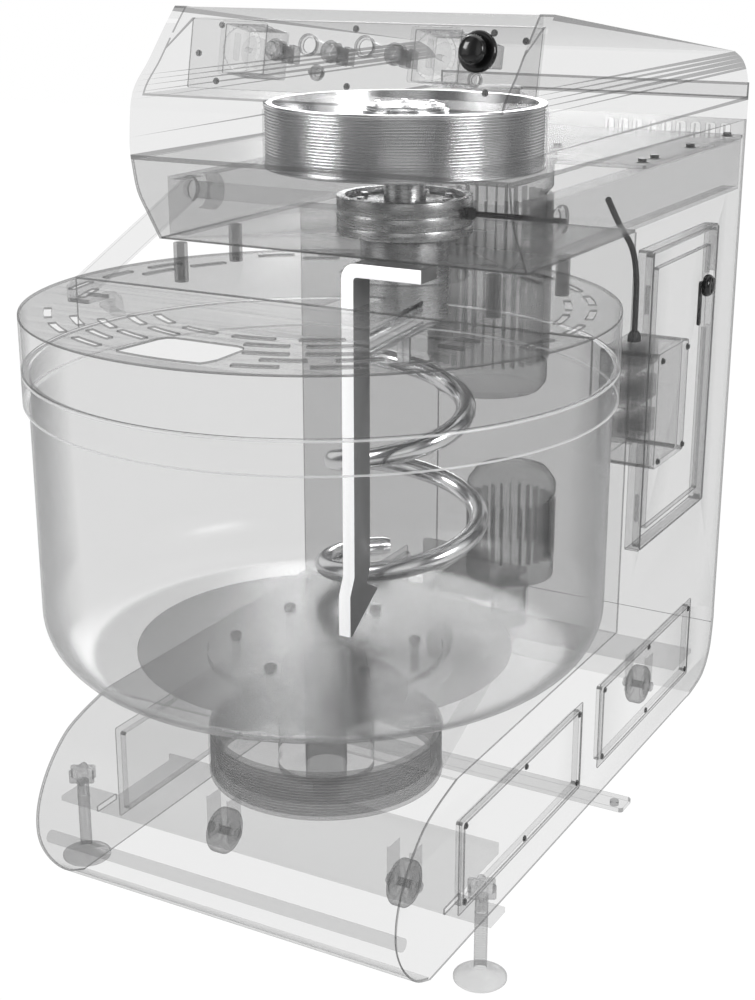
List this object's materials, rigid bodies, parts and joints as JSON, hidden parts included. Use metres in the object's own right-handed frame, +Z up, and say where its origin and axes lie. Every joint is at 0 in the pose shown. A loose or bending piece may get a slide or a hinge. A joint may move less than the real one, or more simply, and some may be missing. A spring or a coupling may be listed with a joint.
{
  "type": "spiral dough mixer",
  "caption": "Floor-standing spiral dough mixer with a turning bowl, a driven spiral hook, a breaker bar and see-through covers.",
  "frame": {"origin": "middle of the machine's footprint, on the floor under its levelling feet", "axes": "+X across the machine to the door's side, +Y from the bowl to the column, +Z up"},
  "size_m": [0.8, 1.306, 1.224],
  "materials": {
    "clear_shell": "see-through light grey sheet",
    "clear_frame": "see-through grey sheet and tube",
    "bowl_steel": "see-through spun stainless steel",
    "polished_steel": "polished stainless steel",
    "turned_steel": "bright turned steel",
    "cast_iron_grey": "grey casting",
    "motor_casting": "see-through grey casting",
    "belt_rubber": "ribbed belt",
    "guard_clear": "see-through sheet",
    "device_clear": "see-through moulded plastic",
    "button_metal": "turned metal",
    "black_plastic": "gloss black",
    "wheel_rubber": "grey tread",
    "foot_steel": "turned steel",
    "cable_rubber": "smooth sheath"
  },
  "bodies": {
    "frame": {"side_plate_left": "clear_shell", "side_plate_right": "clear_shell", "base_panel_front_right": "clear_shell", "base_panel_rear_right": "clear_shell", "nose_cover": "clear_shell", "base_deck": "clear_frame", "front_cross_member": "clear_frame", "rear_cross_member": "clear_frame", "anchor_plate": "clear_frame", "nose_tie_bar": "clear_frame", "column_front_plate": "clear_frame", "rear_cover": "clear_shell", "electrical_box": "clear_frame", "head_pan": "clear_shell", "head_channel_left": "clear_frame", "head_channel_right": "clear_frame", "motor_deck": "clear_frame", "head_cover": "clear_shell", "control_panel": "clear_shell", "timer_left": "device_clear", "timer_right": "device_clear", "pilot_lamp_1": "device_clear", "pilot_lamp_2": "device_clear", "spiral_bearing_housing": "turned_steel", "spiral_bearing_cover": "turned_steel", "grease_pipe": "black_plastic", "spiral_belt": "belt_rubber", "spiral_motor": "motor_casting", "breaker_bar": "polished_steel", "bowl_bearing_housing": "cast_iron_grey", "bowl_belt": "belt_rubber", "bowl_motor": "motor_casting", "rear_guard": "guard_clear", "motor_cable": "cable_rubber"},
    "spiral": {"spiral_pulley": "turned_steel", "spiral_shaft": "polished_steel", "spiral_hook": "polished_steel"},
    "spiral_drive_pulley": {"spiral_motor_pulley": "turned_steel"},
    "bowl_group": {"bowl": "bowl_steel", "bowl_hub": "bowl_steel", "bowl_pulley": "cast_iron_grey"},
    "bowl_drive_pulley": {"bowl_motor_pulley": "turned_steel"},
    "lid": {"guard_lid": "guard_clear", "lid_yoke": "guard_clear", "lid_handle": "guard_clear"},
    "door": {"column_door": "clear_shell"},
    "latch": {"door_latch": "black_plastic"},
    "button_1": {"push_button_1": "button_metal"},
    "button_2": {"push_button_2": "button_metal"},
    "button_3": {"push_button_3": "button_metal"},
    "stop_button": {"emergency_stop": "black_plastic"},
    "dial_left": {"timer_dial_left": "device_clear"},
    "dial_right": {"timer_dial_right": "device_clear"},
    "selector": {"mode_selector": "button_metal"},
    "wheel_front_left": {"caster_wheel_front_left": "wheel_rubber"},
    "wheel_front_right": {"caster_wheel_front_right": "wheel_rubber"},
    "wheel_rear_left": {"caster_wheel_rear_left": "wheel_rubber"},
    "wheel_rear_right": {"caster_wheel_rear_right": "wheel_rubber"},
    "foot_left": {"levelling_foot_left": "foot_steel"},
    "foot_right": {"levelling_foot_right": "foot_steel"}
  },
  "joints": [
    {"name": "spiral_spin", "type": "hinge", "parent": "frame", "child": "spiral", "pos_m": [0, -0.019, 0.9], "axis": [0, 0, 1], "continuous": true},
    {"name": "spiral_motor_spin", "type": "hinge", "parent": "frame", "child": "spiral_drive_pulley", "pos_m": [0, 0.27, 1.05], "axis": [0, 0, 1], "continuous": true},
    {"name": "bowl_spin", "type": "hinge", "parent": "frame", "child": "bowl_group", "pos_m": [0, -0.253, 0.2], "axis": [0, 0, 1], "continuous": true},
    {"name": "bowl_motor_spin", "type": "hinge", "parent": "frame", "child": "bowl_drive_pulley", "pos_m": [0, 0.375, 0.2], "axis": [0, 0, 1], "continuous": true},
    {"name": "lid_swing", "type": "hinge", "parent": "frame", "child": "lid", "pos_m": [0, -0.135, 0.967], "axis": [-1, 0, 0], "range_deg": [0, 60]},
    {"name": "door_swing", "type": "hinge", "parent": "frame", "child": "door", "pos_m": [0.2865, 0.2425, 0.6275], "axis": [0, 0, -1], "range_deg": [0, 110]},
    {"name": "latch_turn", "type": "hinge", "parent": "door", "child": "latch", "pos_m": [0.2865, 0.486, 0.774], "axis": [1, 0, 0], "range_deg": [0, 90]},
    {"name": "button_1_press", "type": "slide", "parent": "frame", "child": "button_1", "axis": [0, 0.9781, -0.2079], "range_m": [0, 0.004], "stiffness_N_per_m": 800, "springref_m": -0.002},
    {"name": "button_2_press", "type": "slide", "parent": "frame", "child": "button_2", "axis": [0, 0.9781, -0.2079], "range_m": [0, 0.004], "stiffness_N_per_m": 800, "springref_m": -0.002},
    {"name": "button_3_press", "type": "slide", "parent": "frame", "child": "button_3", "axis": [0, 0.9781, -0.2079], "range_m": [0, 0.004], "stiffness_N_per_m": 800, "springref_m": -0.002},
    {"name": "stop_press", "type": "slide", "parent": "frame", "child": "stop_button", "axis": [0, 0.9781, -0.2079], "range_m": [0, 0.005], "stiffness_N_per_m": 800, "springref_m": -0.002},
    {"name": "dial_left_turn", "type": "hinge", "parent": "frame", "child": "dial_left", "pos_m": [-0.176, -0.15935, 1.16883], "axis": [0, -0.9781, 0.2079], "range_deg": [-300, 0]},
    {"name": "dial_right_turn", "type": "hinge", "parent": "frame", "child": "dial_right", "pos_m": [0.12, -0.15935, 1.16883], "axis": [0, -0.9781, 0.2079], "range_deg": [-300, 0]},
    {"name": "selector_turn", "type": "hinge", "parent": "frame", "child": "selector", "pos_m": [-0.055, -0.16517, 1.14144], "axis": [0, -0.9781, 0.2079], "range_deg": [-90, 0]},
    {"name": "wheel_front_left_roll", "type": "hinge", "parent": "frame", "child": "wheel_front_left", "pos_m": [-0.154, -0.297, 0.035], "axis": [1, 0, 0], "continuous": true},
    {"name": "wheel_front_right_roll", "type": "hinge", "parent": "frame", "child": "wheel_front_right", "pos_m": [0.154, -0.297, 0.035], "axis": [1, 0, 0], "continuous": true},
    {"name": "wheel_rear_left_roll", "type": "hinge", "parent": "frame", "child": "wheel_rear_left", "pos_m": [-0.2005, 0.5055, 0.035], "axis": [1, 0, 0], "continuous": true},
    {"name": "wheel_rear_right_roll", "type": "hinge", "parent": "frame", "child": "wheel_rear_right", "pos_m": [0.2005, 0.5055, 0.035], "axis": [1, 0, 0], "continuous": true},
    {"name": "foot_left_screw", "type": "slide", "parent": "frame", "child": "foot_left", "axis": [0, 0, 1], "range_m": [-0.02, 0]},
    {"name": "foot_right_screw", "type": "slide", "parent": "frame", "child": "foot_right", "axis": [0, 0, 1], "range_m": [-0.02, 0]}
  ],
  "couplings": [
    {"joint": "spiral_motor_spin", "follows": "spiral_spin", "ratio": 4.7805},
    {"joint": "bowl_motor_spin", "follows": "bowl_spin", "ratio": 5.5333}
  ]
}
